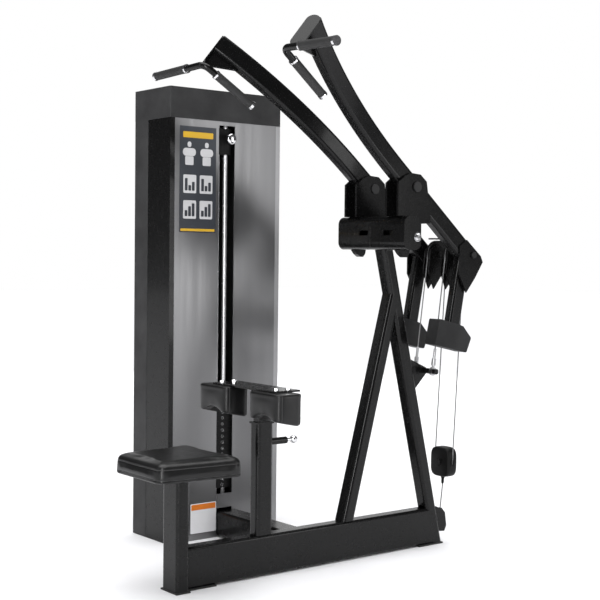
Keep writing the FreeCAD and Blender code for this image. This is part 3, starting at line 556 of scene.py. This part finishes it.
prints("placard_title_bar", YELLOW, [(-800, -655, 1640, 1664, 3), (-810, -645, 1264, 1274, 2)], PRINT_Y)
figures = []
for x in (-770, -686):
    head = (x - 9, x + 9, 1602, 1624, 8.5)
    shoulders = (x - 31, x + 31, 1566, 1598, 14)
    trunk = (x - 20, x + 20, 1530, 1565, 5)
    figures += [head, shoulders, trunk]
prints("placard_figures", PALE, figures, PRINT_Y)
prints("placard_pictures", PALE, [(x, x + TILE_WIDE, z, z + TILE_HIGH, 5) for x, z in TILES], PRINT_Y)
glyphs = []
for k, (x, z) in enumerate(TILES):
    for i, height in enumerate(BAR_HEIGHTS[k % 2]):
        start = x + BAR_FROM + BAR_STEP * i
        glyphs.append((start, start + BAR_WIDE, z + BAR_FOOT, z + BAR_FOOT + height, 3))
prints("placard_glyphs", PLACARD, glyphs, GLYPH_Y)
prints("label_ground", WHITE, [(-751, -625, 28, 151, 3)], LABEL_Y)
prints("label_band", ORANGE, [(-747, -629, 124, 147, 2)], BAND_Y)


# ---- weld ----

def weld(bm, a, b):
    """A bead of overlapping ripples along a seam."""
    ripple, end_r, bead_r, swell = 0.0022, 0.0008, 0.0030, 0.0007
    length = (b - a).length
    n = max(int(length / ripple), 4)
    bead = [(length * i / n, bead_r + swell * math.cos(i * 2.1)) for i in range(1, n)]
    lathe(bm, a, b - a, [(0, end_r)] + bead + [(length, end_r)], 8)


WELD_HALF = 0.042
bm = bmesh.new()
for x in (head_low.x, head_high.x):
    weld(bm, Vector((x, middle.y, middle.z - WELD_HALF)), Vector((x, middle.y, middle.z + WELD_HALF)))
from_bmesh(bm, "crosshead_weld", PAINT, "frame", "black_powder")


# ---- mouldings ----

# Domed chrome face of the increment weight's knob
KNOB_DOME = [(0, 0.0215), (0.002, 0.0222), (0.005, 0.0212), (0.0075, 0.017), (0.009, 0.010), (0.0094, 0.003)]
bm = bmesh.new()
lathe(bm, at(-571.5, 583, 1646), -Y, KNOB_DOME)
from_bmesh(bm, "increment_knob_face", CHROME, "increment_weight", "chrome")

# Dark grey column down the back part of the tower's side
COLUMN_WIDE, COLUMN_IN, COLUMN_FOOT = 0.1016, 0.001, 0.004
COLUMN_OUTLINE = [(0, 0), (-0.0016, 0.0016), (-0.002, 0.006), (-0.002, 0.096), (-0.0016, 0.1),
                  (0, COLUMN_WIDE)]
side_low, side_high = box_of("tower_left_shell")
column_y = side_high.y - COLUMN_WIDE - COLUMN_IN
bm = bmesh.new()
skin(bm, [[bm.verts.new((side_low.x + x, column_y + y, z)) for x, y in COLUMN_OUTLINE]
          for z in (COLUMN_FOOT, 0.35, 0.9, 1.4, side_high.z)])
from_bmesh(bm, "tower_side_column", CAP, "frame", "tower_dark", smooth=False)

# Moulded cover of the floating block, squarer than a disc, with the cable's socket under it
HALF_X, HALF_Y, HALF_Z = 0.026, 0.052, 0.061
SQUARENESS, COVER_POINTS = 0.5, 48
COVER_EDGE = ((HALF_X, 0.9), (0.0245, 0.95), (0.021, 0.985), (0.015, 1))
COVER_PIN = [(-0.001, 0.009), (0.001, 0.009), (0.0018, 0.0075), (0.0012, 0.004)]
SOCKET_PROFILE = [(0, 0.008), (0.008, 0.0082), (0.012, 0.0062), (0.028, 0.0058), (0.034, 0.0036)]
SOCKET_AXIS = (-0.0563, 0, -0.9984)
SOCKET_X, SOCKET_Z = -0.0028, -0.058      # from the block's hub


def cover_ring(bm, x, k):
    """One outline of the cover at x, k times the full size."""
    ring = []
    for i in range(COVER_POINTS):
        t = math.tau * i / COVER_POINTS
        c, d = math.cos(t), math.sin(t)
        ring.append(bm.verts.new(block_hub + Vector((
            x, k * HALF_Y * math.copysign(abs(c) ** SQUARENESS, c),
            k * HALF_Z * math.copysign(abs(d) ** SQUARENESS, d)))))
    return ring


bm = bmesh.new()
profile = [(-x, k) for x, k in COVER_EDGE] + [(x, k) for x, k in reversed(COVER_EDGE)]
skin(bm, [cover_ring(bm, x, k) for x, k in profile])
for d in (-1, 1):
    lathe(bm, block_hub + X * HALF_X * d, X * d, COVER_PIN, 6)
lathe(bm, block_hub + Z * SOCKET_Z + X * SOCKET_X, SOCKET_AXIS, SOCKET_PROFILE, 20)
cover = from_bmesh(bm, "floating_block_cover", NYLON, "floating_block", "nylon")
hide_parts("floating_block_housing")


# ---- studio ----

FLOOR_HALF = 30
floor_mesh = bpy.data.meshes.new("floor")
floor_mesh.from_pydata([(x * FLOOR_HALF, y * FLOOR_HALF, 0) for x, y in ((-1, -1), (1, -1), (1, 1), (-1, 1))],
                       [], [(0, 1, 2, 3)])
floor = bpy.data.objects.new("floor", floor_mesh)
floor_mesh.materials.append(material("floor_white", grey(0.86), 0.6, spread=0.01, bump=0.0))
bpy.context.collection.objects.link(floor)


def area_light(name, where, target, size, power):
    """A rectangular light that faces the target and is hidden from the camera."""
    data = bpy.data.lights.new(name, "AREA")
    data.shape, data.size, data.size_y, data.energy = "RECTANGLE", size[0], size[1], power
    obj = bpy.data.objects.new(name, data)
    obj.location = where
    obj.rotation_mode = "QUATERNION"
    obj.rotation_quaternion = (Vector(target) - Vector(where)).to_track_quat("-Z", "Y")
    obj.visible_camera = False
    bpy.context.collection.objects.link(obj)


sun = bpy.data.objects.new("overhead_soft", bpy.data.lights.new("overhead_soft", "SUN"))
sun.data.energy, sun.data.angle = 3.9, math.radians(70)
bpy.context.collection.objects.link(sun)
area_light("left_strip", (-4.4, 1.2, 2.4), (0, 0, 1.0), (0.35, 3.4), 14)
area_light("panel_box", at(2370, -4000, 1750), at(-585, 600, 1000), (0.95, 2.7), 32)
area_light("edge_strip", at(-4600, -3000, 1900), at(-500, 200, 950), (1.0, 4.0), 170)
area_light("back_wall", at(3800, 5600, 2500), at(-300, 200, 900), (9, 4.5), 110)

# White where the camera looks past the machine, dim grey for every other ray
world = bpy.data.worlds.new("studio")
bpy.context.scene.world = world
world.use_nodes = True
tree = world.node_tree
dim = tree.nodes["Background"]
dim.inputs["Color"].default_value = (0.1, 0.1, 0.102, 1)
white = tree.nodes.new("ShaderNodeBackground")
white.inputs["Color"].default_value = (1, 1, 1, 1)
rays = tree.nodes.new("ShaderNodeLightPath")
mix = tree.nodes.new("ShaderNodeMixShader")
tree.links.new(rays.outputs["Is Camera Ray"], mix.inputs[0])
tree.links.new(dim.outputs[0], mix.inputs[1])
tree.links.new(white.outputs[0], mix.inputs[2])
tree.links.new(mix.outputs[0], tree.nodes["World Output"].inputs["Surface"])
bpy.context.scene.view_settings.view_transform = "Standard"
